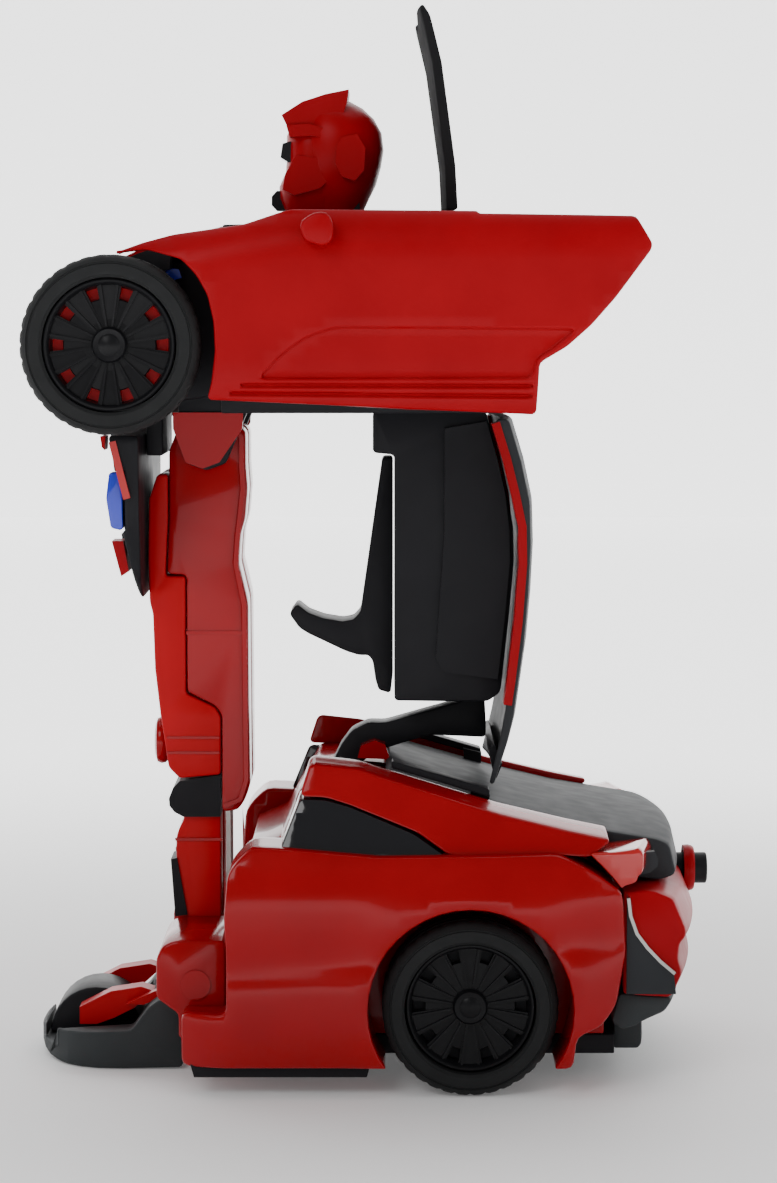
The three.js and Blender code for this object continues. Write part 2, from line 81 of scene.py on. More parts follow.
def moulded(name, color, rough, coat=0.0, metallic=0.0, grain=0.03, shine=0.3):
    """Moulded plastic: a little uneven in colour and gloss, with a fine spark-eroded grain."""
    material = bpy.data.materials.new(name)
    material.use_nodes = True
    nodes, links = material.node_tree.nodes, material.node_tree.links
    shader = nodes["Principled BSDF"]
    shader.inputs["Metallic"].default_value = metallic
    shader.inputs["Coat Weight"].default_value = coat
    shader.inputs["Coat Roughness"].default_value = COAT_ROUGHNESS
    shader.inputs["Specular IOR Level"].default_value = shine
    coords = nodes.new("ShaderNodeTexCoord")

    def noise(size, detail):
        node = nodes.new("ShaderNodeTexNoise")
        node.inputs["Scale"].default_value = 1 / (size * MM)
        node.inputs["Detail"].default_value = detail
        links.new(coords.outputs["Object"], node.inputs["Vector"])
        return node.outputs["Fac"]

    ramp = nodes.new("ShaderNodeValToRGB")
    ramp.color_ramp.elements[0].position = 0.3
    ramp.color_ramp.elements[1].position = 0.7
    ramp.color_ramp.elements[0].color = [c * (1 - COLOR_SPREAD) for c in color] + [1]
    ramp.color_ramp.elements[1].color = [c * (1 + COLOR_SPREAD) for c in color] + [1]
    links.new(noise(COLOR_PATCH, 3), ramp.inputs["Fac"])
    links.new(ramp.outputs["Color"], shader.inputs["Base Color"])
    gloss = nodes.new("ShaderNodeMapRange")
    gloss.inputs["To Min"].default_value = max(0.02, rough * 0.8)
    gloss.inputs["To Max"].default_value = min(1, rough * 1.25)
    links.new(noise(GLOSS_PATCH, 4), gloss.inputs["Value"])
    links.new(gloss.outputs["Result"], shader.inputs["Roughness"])
    bump = nodes.new("ShaderNodeBump")
    bump.inputs["Strength"].default_value = grain * 5
    bump.inputs["Distance"].default_value = GRAIN_DEPTH * MM
    links.new(noise(GRAIN_SIZE, 2), bump.inputs["Height"])
    links.new(bump.outputs["Normal"], shader.inputs["Normal"])
    return material


RED = moulded("red_satin", (0.29, 0.0003, 0.005), 0.36, shine=0.1)
DEEP_RED = moulded("deep_red_gloss", (0.3, 0.0005, 0.004), 0.2, coat=0.2, grain=0.006, shine=0.1)
BLACK = moulded("black_satin", (0.012, 0.012, 0.014), 0.45, shine=0.1)
SCREEN_BLACK = moulded("screen_black", (0.014, 0.014, 0.015), 0.75, shine=0.02)
GLOSS_BLACK = moulded("gloss_black", (0.005, 0.005, 0.007), 0.12, coat=0.35, grain=0.004)
GREY = moulded("grey_satin", (0.032, 0.034, 0.037), 0.5, grain=0.02, shine=0.05)
DARK_GREY = moulded("dark_grey_matte", (0.03, 0.034, 0.036), 0.58, grain=0.08, shine=0.2)
TYRE = moulded("tyre_rubber", (0.012, 0.0125, 0.013), 0.72, grain=0.1, shine=0.2)
SILVER = moulded("silver_trim", (0.42, 0.42, 0.40), 0.3, metallic=0.7)
STEEL = moulded("steel", (0.5, 0.5, 0.5), 0.3, metallic=1.0)
RIM = moulded("rim_black", (0.006, 0.006, 0.007), 0.34, shine=0.14)
TAIL = moulded("tail_red_clear", (0.42, 0.008, 0.008), 0.1, coat=0.5, grain=0.004)
BLUE = moulded("blue_clear", (0.02, 0.035, 0.5), 0.08, coat=0.4, grain=0.004)
STRIPE = moulded("stripe_red", (0.46, 0.03, 0.03), 0.35)
BRIGHT_RED = moulded("bright_red", (0.42, 0.0006, 0.0055), 0.36, shine=0.12)
BOARD = moulded("circuit_green", (0.01, 0.10, 0.035), 0.4)
GEAR = moulded("gear_cream", (0.65, 0.62, 0.52), 0.4)

# ---- mesh tools ----
SMOOTH_ANGLE = math.radians(38)
SHARP_ANGLE = math.radians(35)
FLAT_ANGLE = math.radians(1.5)
SAME_POINT = 2e-6


def finish_piece(name, bm, material, body, replaced=()):
    """Makes a visible piece that rides on a body, and stands in for the CAD nodes in replaced."""
    bmesh.ops.recalc_face_normals(bm, faces=bm.faces)
    mesh = bpy.data.meshes.new(name)
    bm.to_mesh(mesh)
    bm.free()
    for polygon in mesh.polygons:
        polygon.use_smooth = True
    mesh.set_sharp_from_angle(angle=SMOOTH_ANGLE)
    mesh.materials.append(material)
    piece = bpy.data.objects.new(name, mesh)
    bpy.context.scene.collection.objects.link(piece)
    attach(piece, body)
    if replaced:
        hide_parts(*replaced)


def soften(bm, width, segments=2):
    """Rounds the sharp edges off."""
    sharp = [e for e in bm.edges if len(e.link_faces) == 2 and e.calc_face_angle(0) > SHARP_ANGLE]
    bmesh.ops.bevel(bm, geom=sharp, offset=width * MM, segments=segments, profile=0.5,
                    affect="EDGES", clamp_overlap=False)


def slice_up(bm, axis, step):
    """Cuts the mesh across an axis every step millimetres, so that it can be curved."""
    values = [v.co[axis] for v in bm.verts]
    normal = Vector([float(i == axis) for i in range(3)])
    at = min(values) + step * MM
    while at < max(values) - 0.3 * step * MM:
        bmesh.ops.bisect_plane(bm, geom=bm.verts[:] + bm.edges[:] + bm.faces[:], dist=1e-6,
                               plane_co=normal * at, plane_no=normal)
        at += step * MM


def triangulate_big(bm):
    bmesh.ops.triangulate(bm, faces=[f for f in bm.faces if len(f.verts) > 4])


def refined(node, material, warp=None, width=0.45, steps=(0, 0, 0)):
    """A finished copy of a CAD node: its outline with rounded edges, curved where a warp is given."""
    bm = bmesh.new()
    bm.from_mesh(frame["nodes"][node].data)
    bmesh.ops.remove_doubles(bm, verts=bm.verts, dist=SAME_POINT)
    bmesh.ops.dissolve_limit(bm, angle_limit=FLAT_ANGLE, verts=bm.verts, edges=bm.edges)
    soften(bm, width)
    for axis, step in enumerate(steps):
        if step:
            slice_up(bm, axis, step)
    if warp:
        for v in bm.verts:
            x, y, z = v.co.x / MM - SHIFT, v.co.y / MM, v.co.z / MM
            v.co = place(*warp(x, y, z))
    triangulate_big(bm)
    finish_piece(f"{node}_shell", bm, material, BODY_OF[node], (node,))


def close_prism(bm, near, far):
    """Faces on both ends and round the side of a prism."""
    bm.faces.new(near)
    bm.faces.new(far[::-1])
    for i in range(len(near)):
        j = (i + 1) % len(near)
        bm.faces.new((near[j], near[i], far[i], far[j]))


def prism(points, y0, y1):
    """A side outline in X and Z, extruded between two Y."""
    bm = bmesh.new()
    near = [bm.verts.new(place(x, y0, z)) for x, z in points]
    far = [bm.verts.new(place(x, y1, z)) for x, z in points]
    close_prism(bm, near, far)
    return bm


def middle(name, points, half, material, body, width, segments=2):
    """A small solid from a side outline, across the centre plane."""
    bm = prism(points, -half, half)
    soften(bm, width, segments)
    finish_piece(name, bm, material, body)


def detail(name, points, inner, outer, sign, material, body, width=0.25):
    """A small solid from a side outline, on one side of the car, its Y given outward."""
    bm = prism(points, sign * inner, sign * outer)
    soften(bm, width)
    finish_piece(name, bm, material, body)


def band(points, thickness):
    """A strip of even thickness along a line of points."""
    out = []
    back = []
    for i, (x, z) in enumerate(points):
        x0, z0 = points[max(0, i - 1)]
        x1, z1 = points[min(len(points) - 1, i + 1)]
        length = math.hypot(x1 - x0, z1 - z0)
        nx, nz = -(z1 - z0) / length * thickness / 2, (x1 - x0) / length * thickness / 2
        out.append((x + nx, z + nz))
        back.append((x - nx, z - nz))
    return out + back[::-1]


def arc(cx, cz, r, start, end, count):
    """Points on an arc in X and Z, angles in degrees, both ends included."""
    angles = [math.radians(start + (end - start) * i / count) for i in range(count + 1)]
    return [(cx + r * math.cos(a), cz + r * math.sin(a)) for a in angles]


def join_rings(bm, rings, count):
    """Faces between neighbouring rings and from the last back to the first."""
    for s, here in enumerate(rings):
        after = rings[(s + 1) % len(rings)]
        for i in range(count):
            j = (i + 1) % len(here)
            bm.faces.new((here[i], here[j], after[j], after[i]))


def lathe(bm, profile, cx, cz, sign, sides, closed=True, shape=None):
    """Turns [radius, outward Y] about a line along Y."""
    rings = []
    for s in range(sides):
        a = 2 * math.pi * s / sides
        ring = []
        for i, (r, y) in enumerate(profile):
            rr = shape(i, s, r) if shape else r
            ring.append(bm.verts.new(place(cx + rr * math.cos(a), sign * y, cz + rr * math.sin(a))))
        rings.append(ring)
    join_rings(bm, rings, len(profile) if closed else len(profile) - 1)
    return rings


def turned_along_x(profile, y, z, sides):
    """Turns [radius, X] about a line along X."""
    bm = bmesh.new()
    rings = []
    for s in range(sides):
        a = 2 * math.pi * s / sides
        rings.append([bm.verts.new(place(x, y + r * math.cos(a), z + r * math.sin(a)))
                      for r, x in profile])
    join_rings(bm, rings, len(profile))
    return bm


def merge_in(bm, part):
    """Adds a part's mesh to bm and frees the part."""
    mesh = bpy.data.meshes.new("part")
    part.to_mesh(mesh)
    part.free()
    bm.from_mesh(mesh)
    bpy.data.meshes.remove(mesh)


def disc(bm, r, y0, y1, cx, cz, sign, sides=48):
    """A solid disc about a line along Y."""
    rings = lathe(bm, [(r, y0), (r, y1)], cx, cz, sign, sides, closed=False)
    bm.faces.new([ring[0] for ring in rings])
    bm.faces.new([ring[1] for ring in rings][::-1])


# ---- wheels ----
SPOKES = 10
TREAD_BLOCKS = 36
STEPS_PER_BLOCK = 4
BLOCK_DEPTH = 0.35
# A blade's half width and then its offset, each at the hub and at the ring, and its face's height.
BLADES = ((1.2, 3.4, 0, 0, -2.0), (0.28, 0.34, -0.7, -2.4, -1.2), (0.28, 0.34, 0.7, 2.4, -1.2))
BLADE_START = 4.2
BLADE_END = 16.4
FRONT_RIM_FACE = 72.2
REAR_RIM_FACE = 65.6


def add_wheel(end, side, sign, face, behind):
    """A tyre with grooves and shoulder blocks, a spoked rim, and a disc behind the spokes."""
    tyre, rim = f"{end}_tyre_{side}", f"{end}_rim_{side}"
    body = BODY_OF[tyre]
    c = centre(tyre)
    cx, cz = c.x / MM - SHIFT, c.z / MM
    low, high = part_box(tyre)
    outer = max(abs(low[1]), abs(high[1])) / MM
    inner = min(abs(low[1]), abs(high[1])) / MM
    top = (high[2] - low[2]) / 2 / MM
    mid = (outer + inner) / 2
    profile = [(18.3, inner), (20, inner - 0.1), (22.2, inner + 0.3), (23.6, inner + 1.3),
               (top, inner + 3.2)]
    for groove in (mid - 4.4, mid, mid + 4.4):
        profile += [(top, groove - 0.9), (top - 0.9, groove - 0.6), (top - 0.9, groove + 0.6),
                    (top, groove + 0.9)]
    profile += [(top, outer - 3.2), (23.6, outer - 1.3), (22.6, outer - 0.45), (22.4, outer - 0.7),
                (22.1, outer - 0.7), (21.9, outer - 0.2), (20, outer), (19.1, outer - 0.1),
                (18.3, outer - 0.9)]
    # The tread's two edges, each with the nearest edge of a groove.
    last_edge = len(profile) - 9
    shoulders = (4, 5, last_edge - 1, last_edge)

    def blocks(i, s, r):
        shoulder = i in shoulders
        return r - BLOCK_DEPTH if shoulder and s % STEPS_PER_BLOCK == 0 else r

    bm = bmesh.new()
    lathe(bm, profile, cx, cz, sign, TREAD_BLOCKS * STEPS_PER_BLOCK, shape=blocks)
    finish_piece(f"{tyre}_rubber", bm, TYRE, body, (tyre,))

    bm = bmesh.new()
    ring = [(17.95, face - 14), (17.95, face - 0.4), (17.6, face), (17.1, face), (16.6, face - 0.5),
            (16.3, face - 1.6), (15.9, face - 4.4), (15.9, face - 14)]
    lathe(bm, ring, cx, cz, sign, 96)
    hub = [(0.02, face + 0.1), (2.4, face), (3.0, face - 0.5), (3.3, face - 0.5), (4.3, face - 0.3),
           (4.8, face - 0.9), (5.0, face - 5.5), (0.02, face - 5.5)]
    lathe(bm, hub, cx, cz, sign, 48)
    plate = [(4.5, face - 2.6), (12.4, face - 2.9), (12.7, face - 3.4), (12.7, face - 4.6),
             (4.5, face - 4.6)]
    lathe(bm, plate, cx, cz, sign, 80)
    at = Matrix.Translation(place(cx, 0, cz))
    for k in range(SPOKES):
        turn = Matrix.Rotation(2 * math.pi * k / SPOKES, 4, "Y")
        for half0, half1, shift0, shift1, lift in BLADES:
            corners = [(BLADE_START, shift0 - half0), (BLADE_END, shift1 - half1),
                       (BLADE_END, shift1 + half1), (BLADE_START, shift0 + half0)]
            part = bmesh.new()
            near = [part.verts.new(Vector((u, sign * (face - 4.8), r)) * MM) for r, u in corners]
            far = [part.verts.new(Vector((u, sign * (face + lift - (0.9 if r < 9 else 0)), r)) * MM)
                   for r, u in corners]
            close_prism(part, near, far)
            soften(part, 0.16)
            part.transform(at @ turn)
            merge_in(bm, part)
    finish_piece(f"{rim}_spokes", bm, RIM, body, (rim,))
    bm = bmesh.new()
    disc(bm, 15.8, face - 8, face - 5.6, cx, cz, sign)
    finish_piece(f"{rim}_backing", bm, behind, body)


for side, sign in SIDES:
    add_wheel("front", side, sign, FRONT_RIM_FACE, BRIGHT_RED)
    add_wheel("rear", side, sign, REAR_RIM_FACE, BLACK)

# ---- shells of the base ----


def ramp(value, start, end):
    """0 up to start, then rising as a square to 1 at end."""
    t = min(1.0, max(0.0, (value - start) / (end - start)))
    return t * t


def outward(y, inner, outer):
    """0 at the inner distance from the centre plane, 1 at the outer."""
    return min(1.0, max(0.0, (abs(y) - inner) / (outer - inner)))


REAR_WHEEL = (22.7, 24.7)


def rear_side_curve(x, y, z):
    """Drawn in all round, with a lip round the wheel arch and a crease along the side."""
    pull = 5.5 * ramp(z, 54, 71) + 2.0 * ramp(-z, -20, -8)
    pull += 5.0 * ramp(-x, 44, 58) + 6.0 * ramp(x, 50, 67)
    reach = math.hypot(x - REAR_WHEEL[0], z - REAR_WHEEL[1])
    pull -= 0.8 * (1 - ramp(reach, 28, 38))
    pull += 1.1 * math.exp(-((z - 40 - 0.08 * x) / 4.5) ** 2)
    side = math.copysign(1, y)
    return x, y - side * pull * outward(y, 48, 71), z


def cabin_curve(x, y, z):
    """Leans in towards the top, and drops a little at the outside."""
    lean = 7.5 * max(0.0, z - 68) / 22 * outward(y, 46, 60)
    return x, y - math.copysign(lean, y), z - 1.6 * outward(y, 46, 66) ** 2


def hatch_curve(x, y, z):
    """The rear edge is drawn forward towards both sides, and the top drops there."""
    return x - 3.5 * ramp(x, 55, 82) * (y / 47) ** 2, y, z - 1.6 * (y / 47) ** 2 * ramp(z, 56, 72)


def tail_curve(x, y, z):
    """The tail is drawn forward towards both sides."""
    return x - 6.5 * ramp(x, 60, 76) * (y / 62) ** 2, y, z


ANKLE_AT = (-54, 29.5)
for side, sign in SIDES:
    refined(f"rear_side_{side}", DEEP_RED, rear_side_curve, 0.6, (4, 4, 4))
    refined(f"side_window_{side}", GLOSS_BLACK, cabin_curve, 0.3, (4, 3, 3))
    refined(f"roof_side_{side}", DEEP_RED, cabin_curve, 0.6, (4, 3, 3))
    refined(f"roof_rail_{side}", BLACK, None, 0.3)
    refined(f"tail_light_{side}", TAIL, tail_curve, 0.4, (3, 3, 3))
    refined(f"ankle_housing_{side}", DEEP_RED, None, 0.8)
    refined(f"leg_front_{side}", BRIGHT_RED, None, 0.5)
    refined(f"leg_rear_{side}", DEEP_RED, None, 0.6)
    refined(f"shin_{side}", BRIGHT_RED, None, 0.4)
    refined(f"steering_knuckle_{side}", GREY, None, 0.3)
refined("hatch", GREY, hatch_curve, 0.6, (5, 4, 0))
refined("rear_bumper", RED, tail_curve, 0.5, (4, 5, 0))
refined("diffuser", DARK_GREY, tail_curve, 0.5, (4, 5, 0))
refined("foot_tray", DARK_GREY, None, 0.7)
refined("foot_dome", BLACK, None, 0.8)
refined("base_housing", DEEP_RED, None, 0.6)
refined("chassis", BLACK, None, 0.3)
refined("rear_button", BLACK, None, 0.5)

# ---- shells of the upper half ----


def panel_top(x):
    """The height of the top edge of the fender and door panel."""
    return 232.9 + 11.5 * min(1.0, max(0.0, (x + 75) / 50)) ** 0.8


def panel_curve(x, y, z):
    """Top, foot and both ends of the fender and door panel drawn in."""
    pull = 5.0 * ramp(z, panel_top(x) - 11, panel_top(x)) + 3.0 * ramp(-z, -203, -189)
    pull += 3.2 * ramp(-x, 48, 76) + 4.5 * ramp(x, 40, 72)
    side = math.copysign(1, y)
    return x, y - side * pull * outward(y, 59, 72), z


def back_curve(x, y, z):
    """Bowed, with its sides further forward than its middle."""
    return x - 2.0 * (y / 38) ** 2, y, z


def screen_curve(x, y, z):
    """Bowed, with its sides further back than its middle."""
    return x + 1.6 * (y / 37) ** 2, y, z


def nose_curve(x, y, z):
    """The front is drawn back towards both sides."""
    return x + 1.6 * (y / 46) ** 2 * ramp(-x, 69, 79), y, z


for side, sign in SIDES:
    refined(f"side_panel_{side}", RED, panel_curve, 0.6, (4, 3, 3))
    refined(f"door_mirror_{side}", RED, None, 0.9)
    refined(f"headlight_lens_{side}", BLUE, None, 0.4)
refined("back_panel", GREY, back_curve, 0.5, (0, 4, 4))
refined("windscreen_panel", SCREEN_BLACK, screen_curve, 0.5, (0, 4, 4))
refined("nose", BLACK, nose_curve, 0.5, (3, 4, 4))
refined("torso_frame", BLACK, None, 0.5)
refined("spine", BLACK, None, 0.5)
refined("hook_lever", BLACK, None, 0.5)
refined("gooseneck", BLACK, None, 0.5)

INNER_NODES = {
    "battery_door": BLACK, "battery_pack": GREY, "circuit_board": BOARD,
    "chassis_screw": STEEL, "drive_motor": STEEL, "rear_axle": STEEL, "hip_pin": STEEL,
    "axle_gear": GEAR, "motor_pinion": GEAR,
}
for node, material in INNER_NODES.items():
    piece = frame["nodes"][node]
    piece.data.materials.clear()
    piece.data.materials.append(material)

# ---- seams and fittings on the base ----
for side, sign in SIDES:
    sill = [(-55, 9), (-5, 9), (-6, 5.4), (-54, 5.4)]
    detail(f"sill_strip_{side}", sill, 60, 66.5, sign, BLACK, "base")
    blank = arc(ANKLE_AT[0], ANKLE_AT[1], 4.2, 0, 360, 24)[:-1]
    detail(f"ankle_cap_{side}", blank, 56.6, 57.6, sign, DEEP_RED, "base", 0.4)
    block = [(23, 83.6), (28.6, 82.2), (28.4, 77.8), (23.4, 79.2)]
    detail(f"rail_block_{side}", block, 38, 43, sign, BLACK, "base", 0.5)
    bracket = [(-8, 91), (-4, 92.6), (-1, 91.4), (0.5, 87), (-9, 87.5)]
    detail(f"hinge_bracket_{side}", bracket, 7.2, 13, sign, DEEP_RED, "base", 0.6)
    trim = [(66.6, 55), (67.2, 50), (69, 45), (72, 41), (75.6, 37.2), (79.6, 33.8)]
    detail(f"bumper_trim_{side}", band(trim, 0.9), 61.4, 63.2, sign, SILVER, "base", 0.08)
    frame_side = [
        (66.2, 28), (66.2, 56.4), (66.8, 50), (68.6, 45), (71.6, 40.8), (75.2, 36.8), (79.4, 33.2),
        (80, 28),
    ]
    detail(f"bumper_frame_{side}", frame_side, 60.6, 62.8, sign, GREY, "base", 0.3)
    lamp = [
        (58, 66.4), (64, 66.8), (74, 67.6), (75, 65.6), (74.8, 63.4), (72.6, 61.6), (66.6, 60.6),
    ]
    detail(f"tail_light_frame_{side}", lamp, 57, 60, sign, GREY, "base", 0.3)
BUTTON_Z = 53
socket = [(5.3, 87.2), (6.8, 87.2), (6.9, 88.8), (6.6, 89.9), (6.1, 90.4), (5.6, 90.4), (5.3, 90)]
finish_piece("button_socket", turned_along_x(socket, 0, BUTTON_Z, 48), RED, "base")

# ---- foot: ribs beside the dome ----
for side, sign in SIDES:
    rib = [
        (-90, 10.4), (-90, 15.4), (-81, 20), (-72, 21.4), (-68.4, 20.2), (-74, 15.2), (-80, 12.2),
        (-85, 10.4),
    ]
    detail(f"foot_rib_{side}", rib, 13.4, 20.5, sign, BRIGHT_RED, "base", 0.9)
    low = [(-76, 17.2), (-66.4, 21.6), (-66.4, 19), (-71, 17)]
    detail(f"foot_rib_upper_{side}", low, 21.4, 25, sign, BRIGHT_RED, "base", 0.6)

# ---- legs: knee, shin guard and panel lines ----
KNEE = {
    "x": -65.6, "y": 11, "z": 92.6,
    "profile": [
        (0.02, -1.6), (5.4, -1.6), (6.6, -0.6), (6.9, 0.6), (6.4, 1.8), (4.6, 2.4), (0.02, 2.6),
    ],
}
for side, sign in SIDES:
    cap = [
        (-63.8, 76.4), (-62.6, 79.4), (-60.8, 81.4), (-48.8, 83.3), (-48.8, 71), (-59.6, 71),
        (-62.2, 72.4), (-63.6, 74.2),
    ]
    detail(f"knee_cap_{side}", cap, 1.4, 18.6, sign, BLACK, "legs", 0.9)
    wedge = [(-63.4, 58.4), (-61.6, 58.8), (-58.6, 42), (-62.2, 41.6)]
    detail(f"shin_guard_{side}", wedge, 3.4, 17.6, sign, BLACK, "legs", 0.5)
    stripe_band = [(-62.2, 64.6), (-48.4, 64.6), (-48.4, 63.8), (-62, 63.8)]
    detail(f"shin_band_{side}", stripe_band, 16.4, 17.5, sign, DEEP_RED, "legs", 0.1)
    rod_strip = [(-47.6, 72), (-46.4, 72), (-46.4, 46), (-47.6, 46)]
    detail(f"shin_rod_{side}", rod_strip, 6, 9, sign, SILVER, "legs", 0.2)
    for k, z in enumerate((94.4, 90)):
        line = [(-64.2, z + 0.35), (-49, z + 0.35), (-49, z - 0.35), (-64, z - 0.35)]
        detail(f"leg_line_{side}_{k}", line, 19.6, 20.35, sign, DEEP_RED, "legs", 0.1)
    step = [(-58.4, 125.4), (-41.4, 125.4), (-41.2, 124.4), (-58.4, 124.4)]
    detail(f"leg_step_{side}", step, 19.6, 20.5, sign, DEEP_RED, "legs", 0.2)
    rim_line = [
        (-57, 184.2), (-45.4, 184.2), (-42.2, 181.4), (-42.2, 173), (-41.8, 166.6), (-43.4, 153),
        (-44, 145), (-41.6, 133), (-41.2, 82), (-43, 76.4), (-47.6, 74.6),
    ]
    detail(f"leg_rim_{side}", band(rim_line, 1.3), 19.4, 21.2, sign, DEEP_RED, "legs", 0.3)
    knee_disc = turned_along_x([(r, KNEE["x"] - out) for r, out in KNEE["profile"]],
                               sign * KNEE["y"], KNEE["z"], 40)
    finish_piece(f"knee_disc_{side}", knee_disc, DEEP_RED, "legs")

# ---- spine, back panel and nose trim ----
stripe = [
    (29.8, 186), (33, 175.6), (35.4, 166), (37.4, 156.6), (37.6, 146), (36.4, 130), (34.4, 113),
    (33.4, 106),
]
for side, sign in SIDES:
    edge = band([(x + 0.4, z) for x, z in stripe], 2.4)
    detail(f"back_stripe_{side}", edge, 30, 38.4, sign, RED, "back_panel", 0.3)
    lining = [
        (16, 184), (28, 186), (31.2, 175), (33.4, 165), (34.6, 155), (34.8, 146), (33.4, 130),
        (31.4, 112), (16, 114), (13.6, 118), (16, 154),
    ]
    detail(f"spine_cheek_{side}", lining, 23.6, 25.6, sign, BLACK, "torso", 0.6)
    nose_line = [(-77.2, 181), (-75, 172), (-73.2, 165)]
    detail(f"nose_stripe_{side}", band(nose_line, 2.0), 38, 46.3, sign, STRIPE, "nose", 0.2)
    corner = [(-80.6, 182.4), (-79.2, 182.4), (-79.4, 178.6), (-80.2, 179.4)]
    detail(f"nose_corner_{side}", corner, 34, 45.4, sign, RED, "nose", 0.2)
lip = [(28.8, 92.6), (30.4, 93.4), (32.6, 88), (31, 84), (30, 85.6)]
middle("back_panel_lip", lip, 30, BLACK, "back_panel", 0.4)

# ---- door mirrors' stalks and hood details ----
for side, sign in SIDES:
    stalk = [(-20, 238.4), (-17, 238.4), (-17.6, 236), (-20.4, 236.4)]
    detail(f"mirror_stalk_{side}", stalk, 70.4, 74, sign, RED, BODY_OF[f"door_mirror_{side}"], 0.3)
    lamp = [(-62, 229.4), (-58.6, 229), (-57.8, 226.6), (-60, 226), (-62.4, 227.4)]
    detail(f"hood_lamp_{side}", lamp, 36.4, 42, sign, BLUE, "torso", 0.3)
    liner = [
        (-86, 222), (-80, 228.4), (-70, 233), (-60.5, 236.2), (-60.5, 229), (-72, 225.5),
        (-80, 220.5), (-84, 217),
    ]
    detail(f"wheel_liner_{side}", liner, 38.5, 49.5, sign, BLACK, "torso", 0.5)

# ---- head: a plain helmet with a brow, visor, cheek guards and chin ----
HEAD_SIDES = 40


def head_shell(name, rows, material, replaced):
    """A smooth shell through level rings; a row is [z, front x, back x, half width, squareness]."""
    bm = bmesh.new()
    rings = []
    for z, front, back, half, power in rows:
        cx, rx = (front + back) / 2, (back - front) / 2
        ring = []
        for s in range(HEAD_SIDES):
            a = 2 * math.pi * s / HEAD_SIDES
            c, w = math.cos(a), math.sin(a)
            ring.append(bm.verts.new(place(cx + rx * math.copysign(abs(c) ** power, c),
                                           half * math.copysign(abs(w) ** power, w), z)))
        rings.append(ring)
    for low, high in zip(rings, rings[1:]):
        for s in range(HEAD_SIDES):
            t = (s + 1) % HEAD_SIDES
            bm.faces.new((low[s], low[t], high[t], high[s]))
    bm.faces.new(rings[0][::-1])
    bm.faces.new(rings[-1])
    finish_piece(name, bm, material, "head", replaced)


head_shell("head_dome", [
    (246.2, -24, -7.4, 9.5, 0.9), (250, -24.6, -5.6, 11.6, 0.85), (254, -25.2, -3.6, 13.4, 0.8),
    (259, -25.8, -2.2, 14.4, 0.8), (264, -26.2, -1.4, 14.8, 0.8), (269, -26.4, -2.0, 14.4, 0.82),
    (273, -25.8, -4.2, 12.8, 0.86), (276, -24.2, -7.4, 10.4, 0.9), (278, -21.6, -11, 7, 0.95),
    (278.8, -18.6, -14, 3, 1)], RED, ("helmet",))
crest = [
    (-30.8, 273.6), (-24.8, 277.4), (-18, 279.6), (-11.4, 280.9), (-11.8, 277.6), (-14.8, 268.2),
    (-20, 269.2), (-27.2, 270.6), (-29.4, 270.8),
]
middle("helmet_crest", crest, 11.6, RED, "head", 0.9, 3)
for side, sign in SIDES:
    brow = [(-29.4, 270.6), (-23, 271), (-15, 268.8), (-15.6, 265.8), (-22, 267.6), (-28.4, 267.2)]
    detail(f"helmet_brow_{side}", brow, 4, 13.6, sign, RED, "head", 0.7)
    ear = [
        (-13.6, 267), (-9, 268), (-6.6, 264), (-7, 257.6), (-9.6, 254.6), (-13.4, 255.8),
        (-15.2, 259.6), (-15, 264),
    ]
    detail(f"helmet_ear_{side}", ear, 12.8, 15.6, sign, RED, "head", 0.8)
    cheek = [
        (-26.6, 262), (-17.6, 261), (-15.8, 256.4), (-19.6, 252.6), (-27, 250.6), (-30.4, 252.2),
        (-29.8, 256.6),
    ]
    detail(f"cheek_guard_{side}", cheek, 7.4, 13.2, sign, RED, "head", 0.8)
head_shell("face_shell", [
    (246.6, -30.8, -12, 9.6, 0.8), (250, -31.8, -12, 11.4, 0.75), (253.4, -31.8, -12, 12.2, 0.75),
    (255.6, -30.8, -12, 12.6, 0.75), (257.6, -29.9, -12, 12.6, 0.75), (261, -29.6, -12, 12.6, 0.75),
    (265, -29.6, -12, 12.4, 0.75), (268, -29.6, -12, 12, 0.8), (270.4, -28.6, -12, 11, 0.8)],
    RED, ("face_plate",))
chin = [(-33.9, 250.6), (-32.4, 252.2), (-29, 252), (-29, 246.6), (-32.6, 246.6), (-33.9, 248)]
middle("chin_guard", chin, 5, BLACK, "head", 0.8)
visor = [(-30.6, 265.6), (-28.6, 266.2), (-24, 266), (-24, 260.6), (-29, 260.2), (-31.2, 261.6)]
middle("visor", visor, 8.6, GLOSS_BLACK, "head", 0.6, 3)
neck = [(-25, 249), (-8.4, 249), (-8, 243.2), (-25, 243.2)]
middle("neck", neck, 8, BLACK, "head", 0.8)

# ---- hood between the front wheels, and the grille under it ----
HOOD = [
    (-90, 206), (-90, 217), (-87.4, 223.6), (-80, 229.6), (-70, 234.4), (-58, 238), (-47.2, 240.6),
    (-47.2, 238.6), (-58, 236), (-70, 232.4), (-79, 228), (-86, 222.6), (-88.4, 216.4),
    (-88.6, 206),
]
HOOD_HALF = 39.6
HOOD_CROWN = 1.3
CREASE_DEPTH = 0.9
CREASE_AT = 0.55
CREASE_WIDTH = 0.05
HOOD_SWEEP = 1.6
bm = prism(HOOD, -HOOD_HALF, HOOD_HALF)
soften(bm, 0.4)
slice_up(bm, 0, 3)
slice_up(bm, 1, 4)
for v in bm.verts:
    across = v.co.y / MM / HOOD_HALF
    crease = math.exp(-((abs(across) - CREASE_AT) / CREASE_WIDTH) ** 2)
    v.co.z += MM * (HOOD_CROWN * (1 - across ** 2) - CREASE_DEPTH * crease)
    v.co.x += MM * HOOD_SWEEP * across ** 2 * ramp(-(v.co.x / MM - SHIFT), 78, 90)
triangulate_big(bm)
